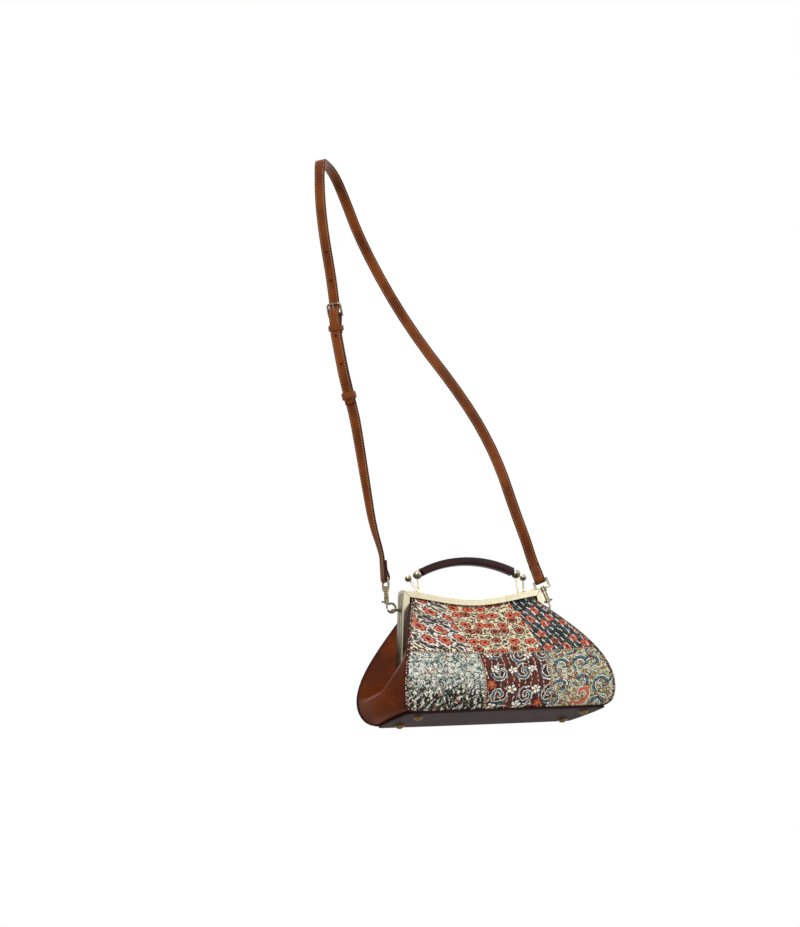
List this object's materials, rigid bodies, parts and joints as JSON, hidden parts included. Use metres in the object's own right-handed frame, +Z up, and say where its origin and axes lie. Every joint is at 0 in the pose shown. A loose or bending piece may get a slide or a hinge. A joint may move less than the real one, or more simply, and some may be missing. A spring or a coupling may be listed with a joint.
{
  "type": "frame satchel",
  "caption": "Hinged-frame satchel with a ball clasp, arched leather grip, patchwork-print front, folded brown leather gussets and a buckled shoulder strap on swivel hooks.",
  "frame": {"origin": "underside of the strap at the shoulder bend, from which the satchel hangs", "axes": "+X to the right of the bag, +Y from its front to its back, +Z up, with the base level"},
  "size_m": [0.3576, 0.166, 0.7752],
  "materials": {
    "frame_metal": "brushed pale antique gold",
    "hardware": "polished antique nickel brass",
    "spring_steel": "drawn wire",
    "foot_brass": "antique brass",
    "grip_leather": "glossy",
    "print_leather": "printed, semi gloss",
    "body_leather": "smooth, semi gloss",
    "base_leather": "smooth",
    "strap_leather": "smooth, stitched edges",
    "lining_cloth": "plain weave",
    "board": "plain"
  },
  "bodies": {
    "bag": {"back_frame": "frame_metal", "hinge_pin_left": "hardware", "hinge_pin_right": "hardware", "grip_post_left": "frame_metal", "grip_post_right": "frame_metal", "grip": "grip_leather", "front_panel": "print_leather", "back_panel": "body_leather", "gusset_left": "body_leather", "gusset_right": "body_leather", "base_panel": "base_leather", "base_board": "board", "lining": "lining_cloth", "back_facing": "lining_cloth", "feet": "foot_brass", "side_lug_left": "hardware", "side_lug_right": "hardware", "swivel_eye_left": "hardware", "swivel_eye_right": "hardware", "long_strap": "strap_leather", "short_strap": "strap_leather", "buckle_frame": "hardware", "buckle_prong": "hardware", "fixed_keeper": "strap_leather"},
    "front_half": {"front_frame": "frame_metal", "clasp_post_left": "frame_metal", "clasp_post_right": "frame_metal", "front_panel_top": "print_leather", "front_facing": "lining_cloth"},
    "left_hook": {"hook_left": "hardware", "trigger_spring_left": "spring_steel"},
    "right_hook": {"hook_right": "hardware", "trigger_spring_right": "spring_steel"},
    "left_trigger": {"hook_trigger_left": "hardware"},
    "right_trigger": {"hook_trigger_right": "hardware"},
    "keeper": {"loose_keeper": "strap_leather"}
  },
  "joints": [
    {"name": "frame_hinge", "type": "hinge", "parent": "bag", "child": "front_half", "pos_m": [0.15375, 0.01937, -0.6997], "axis": [1, 0, 0], "range_deg": [0, 55], "deforming": ["front_panel", "gusset_left", "gusset_right", "lining"]},
    {"name": "hook_swivel_left", "type": "hinge", "parent": "bag", "child": "left_hook", "pos_m": [0.03468, 0.02428, -0.6055], "axis": [0.02, -0.0599, 0.998], "range_deg": [-5, 5]},
    {"name": "trigger_slide_left", "type": "slide", "parent": "left_hook", "child": "left_trigger", "axis": [0.02, -0.0599, 0.998], "range_m": [0, 0.005], "stiffness_N_per_m": 250, "springref_m": -0.002, "deforming": ["trigger_spring_left"]},
    {"name": "hook_swivel_right", "type": "hinge", "parent": "bag", "child": "right_hook", "pos_m": [0.2716, 0.02667, -0.60494], "axis": [-0.1604, 0.2205, 0.9621], "range_deg": [-5, 5]},
    {"name": "trigger_slide_right", "type": "slide", "parent": "right_hook", "child": "right_trigger", "axis": [-0.1604, 0.2205, 0.9621], "range_m": [0, 0.005], "stiffness_N_per_m": 250, "springref_m": -0.002, "deforming": ["trigger_spring_right"]},
    {"name": "keeper_slide", "type": "slide", "parent": "bag", "child": "keeper", "axis": [-0.1863, -0.0931, 0.9781], "range_m": [-0.016, 0.016]}
  ]
}
